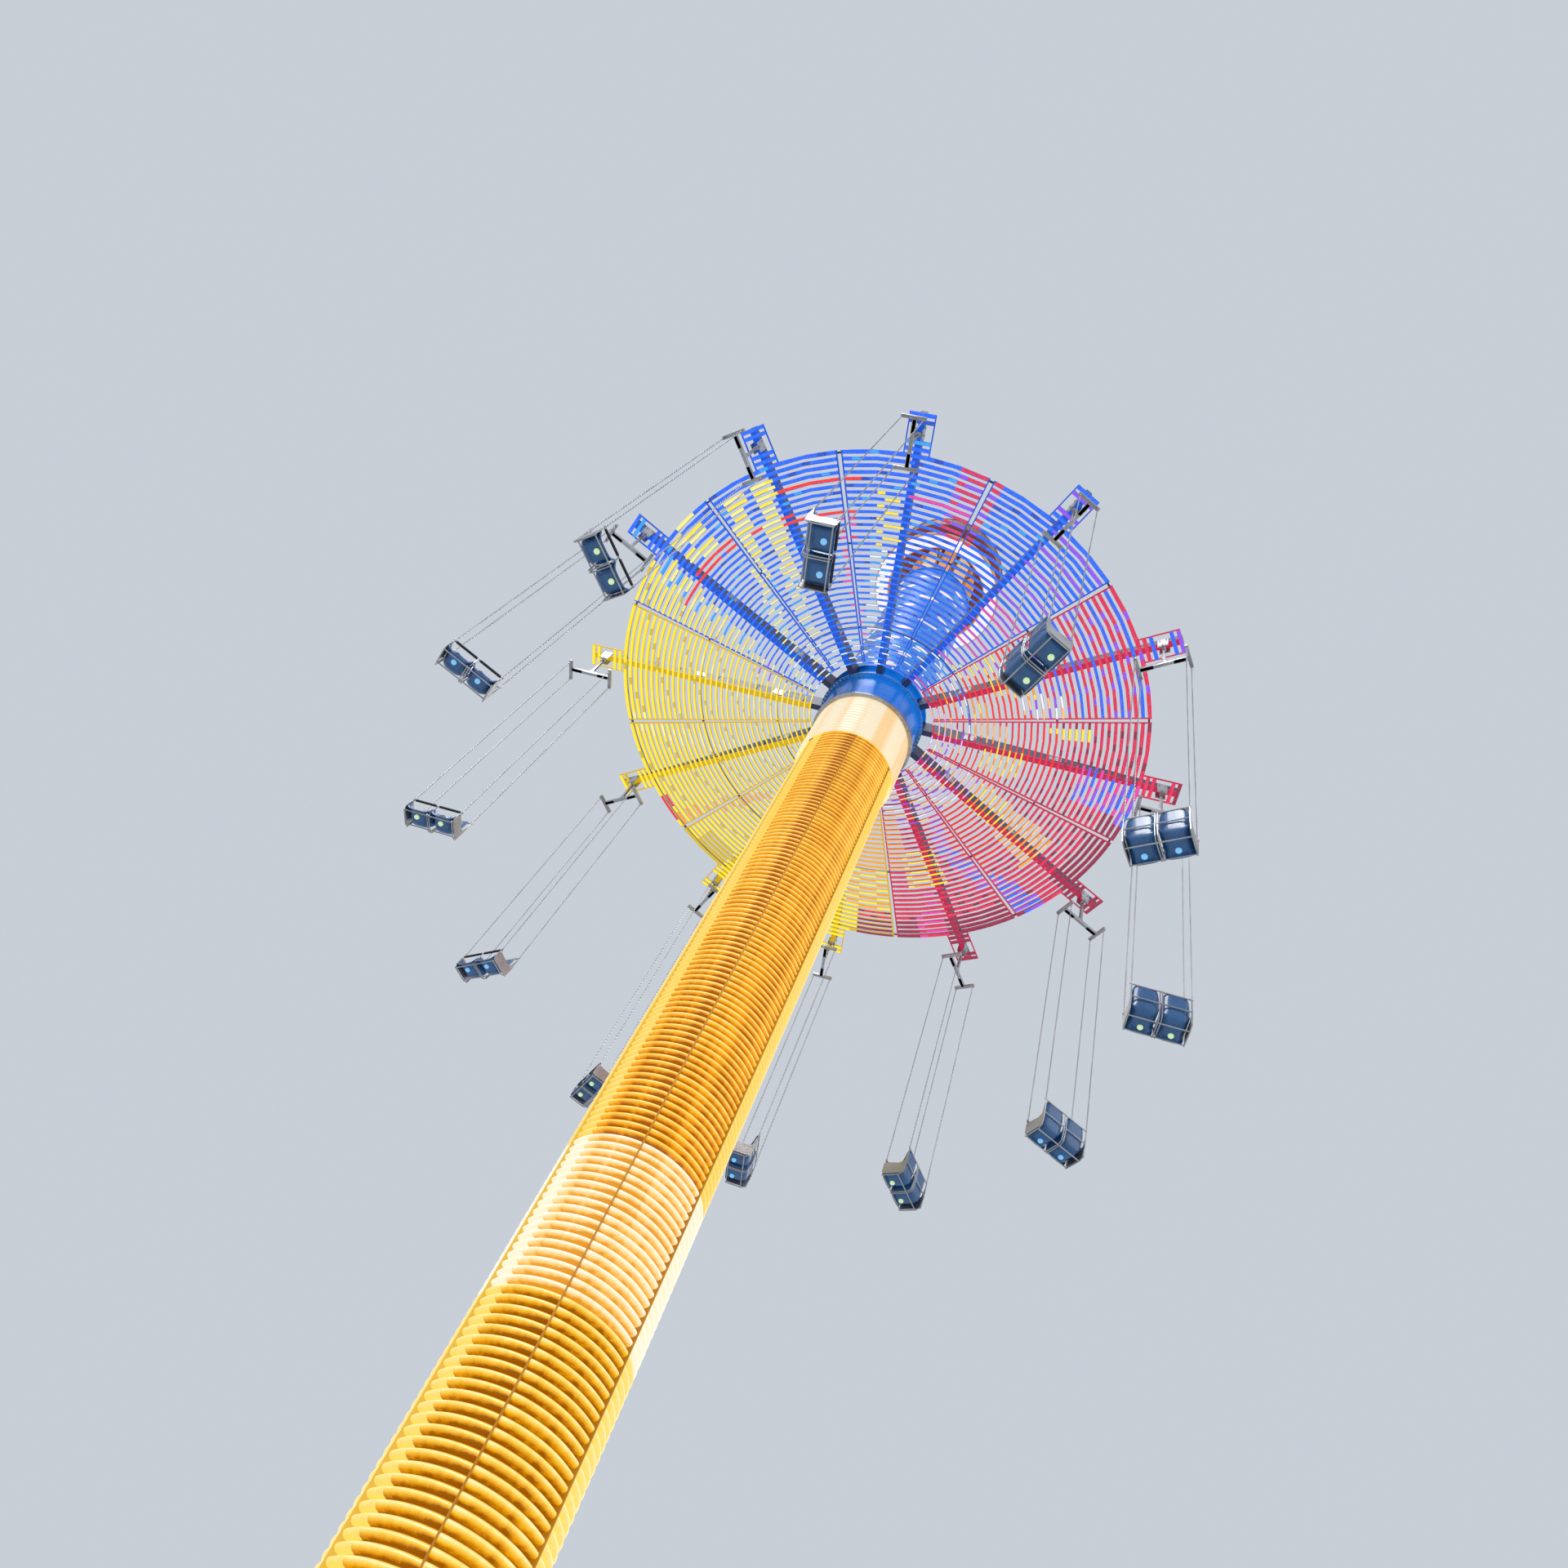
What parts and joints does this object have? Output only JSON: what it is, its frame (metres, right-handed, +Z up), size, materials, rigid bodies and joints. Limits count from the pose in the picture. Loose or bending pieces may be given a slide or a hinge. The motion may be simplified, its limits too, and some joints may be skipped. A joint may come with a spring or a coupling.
{
  "type": "swing tower ride",
  "caption": "Swing tower ride: a tall round mast ringed with lamps, a lifting carriage, a turning star of light bars and twin chairs hung on chains.",
  "frame": {"origin": "centre of the underside of the mast's base flange", "axes": "+Z up along the mast; -Y is the side that the picture mostly shows"},
  "size_m": [14.5542, 14.5542, 35.99],
  "materials": {
    "base_grey": "matt",
    "mast_bronze": "satin",
    "steel": "satin",
    "lamp_gold": "gloss",
    "lamp_cream": "gloss",
    "stave_orange": "gloss",
    "halo_white": "gloss",
    "crown_red": "satin",
    "crown_brown": "satin",
    "rubber_black": "matt",
    "sleeve_blue": "gloss",
    "stroke_white": "gloss",
    "arm_navy": "satin",
    "bar_yellow": "gloss",
    "bar_blue": "gloss",
    "bar_red": "gloss",
    "chair_steel": "satin"
  },
  "bodies": {
    "tower": {"base_flange": "base_grey", "mast_foot": "mast_bronze", "mast_shaft": "mast_bronze", "mast_upper": "mast_bronze", "guide_blades": "steel", "ring_lamps_foot": "lamp_gold", "ring_lamps_cream": "lamp_cream", "ring_lamps_shaft": "lamp_gold", "ring_lamps_upper": "lamp_gold", "head_staves_cream": "lamp_cream", "head_staves_orange": "stave_orange", "halo_lamp": "halo_white", "halo_brackets": "crown_brown", "crown_plate": "crown_red", "crown_drum": "crown_brown", "crown_lantern": "crown_brown", "crown_cap": "crown_brown"},
    "carriage": {"lamp_collar": "lamp_cream", "guide_shoes": "rubber_black", "slewing_race": "steel"},
    "star": {"star_hub": "sleeve_blue", "blue_sleeve": "sleeve_blue", "sleeve_strokes": "stroke_white", "star_arms": "arm_navy", "light_bars_yellow": "bar_yellow", "light_bars_blue": "bar_blue", "light_bars_red": "bar_red", "hoop_rails": "arm_navy", "hanger_lugs": "steel"},
    "chair_01": {"twin_chair_01": "chair_steel"},
    "chair_02": {"twin_chair_02": "chair_steel"},
    "chair_03": {"twin_chair_03": "chair_steel"},
    "chair_04": {"twin_chair_04": "chair_steel"},
    "chair_05": {"twin_chair_05": "chair_steel"},
    "chair_06": {"twin_chair_06": "chair_steel"},
    "chair_07": {"twin_chair_07": "chair_steel"},
    "chair_08": {"twin_chair_08": "chair_steel"},
    "chair_09": {"twin_chair_09": "chair_steel"},
    "chair_10": {"twin_chair_10": "chair_steel"},
    "chair_11": {"twin_chair_11": "chair_steel"},
    "chair_12": {"twin_chair_12": "chair_steel"}
  },
  "joints": [
    {"name": "carriage_lift", "type": "slide", "parent": "tower", "child": "carriage", "axis": [0, 0, 1], "range_m": [-15.8, 0.3]},
    {"name": "star_spin", "type": "hinge", "parent": "carriage", "child": "star", "pos_m": [0, 0, 24.5], "axis": [0, 0, 1], "continuous": true},
    {"name": "chair_01_swing", "type": "hinge", "parent": "star", "child": "chair_01", "pos_m": [6.71238, -0.8837, 24.3], "axis": [-0.1305, -0.9914, 0], "range_deg": [-10, 45]},
    {"name": "chair_02_swing", "type": "hinge", "parent": "star", "child": "chair_02", "pos_m": [6.25494, 2.59088, 24.3], "axis": [0.3827, -0.9239, 0], "range_deg": [-10, 45]},
    {"name": "chair_03_swing", "type": "hinge", "parent": "star", "child": "chair_03", "pos_m": [4.1215, 5.37124, 24.3], "axis": [0.7934, -0.6088, 0], "range_deg": [-10, 45]},
    {"name": "chair_04_swing", "type": "hinge", "parent": "star", "child": "chair_04", "pos_m": [0.8837, 6.71238, 24.3], "axis": [0.9914, -0.1305, 0], "range_deg": [-10, 45]},
    {"name": "chair_05_swing", "type": "hinge", "parent": "star", "child": "chair_05", "pos_m": [-2.59088, 6.25494, 24.3], "axis": [0.9239, 0.3827, 0], "range_deg": [-10, 45]},
    {"name": "chair_06_swing", "type": "hinge", "parent": "star", "child": "chair_06", "pos_m": [-5.37124, 4.1215, 24.3], "axis": [0.6088, 0.7934, 0], "range_deg": [-10, 45]},
    {"name": "chair_07_swing", "type": "hinge", "parent": "star", "child": "chair_07", "pos_m": [-6.71238, 0.8837, 24.3], "axis": [0.1305, 0.9914, 0], "range_deg": [-10, 45]},
    {"name": "chair_08_swing", "type": "hinge", "parent": "star", "child": "chair_08", "pos_m": [-6.25494, -2.59088, 24.3], "axis": [-0.3827, 0.9239, 0], "range_deg": [-10, 45]},
    {"name": "chair_09_swing", "type": "hinge", "parent": "star", "child": "chair_09", "pos_m": [-4.1215, -5.37124, 24.3], "axis": [-0.7934, 0.6088, 0], "range_deg": [-10, 45]},
    {"name": "chair_10_swing", "type": "hinge", "parent": "star", "child": "chair_10", "pos_m": [-0.8837, -6.71238, 24.3], "axis": [-0.9914, 0.1305, 0], "range_deg": [-10, 45]},
    {"name": "chair_11_swing", "type": "hinge", "parent": "star", "child": "chair_11", "pos_m": [2.59088, -6.25494, 24.3], "axis": [-0.9239, -0.3827, 0], "range_deg": [-10, 45]},
    {"name": "chair_12_swing", "type": "hinge", "parent": "star", "child": "chair_12", "pos_m": [5.37124, -4.1215, 24.3], "axis": [-0.6088, -0.7934, 0], "range_deg": [-10, 45]}
  ]
}
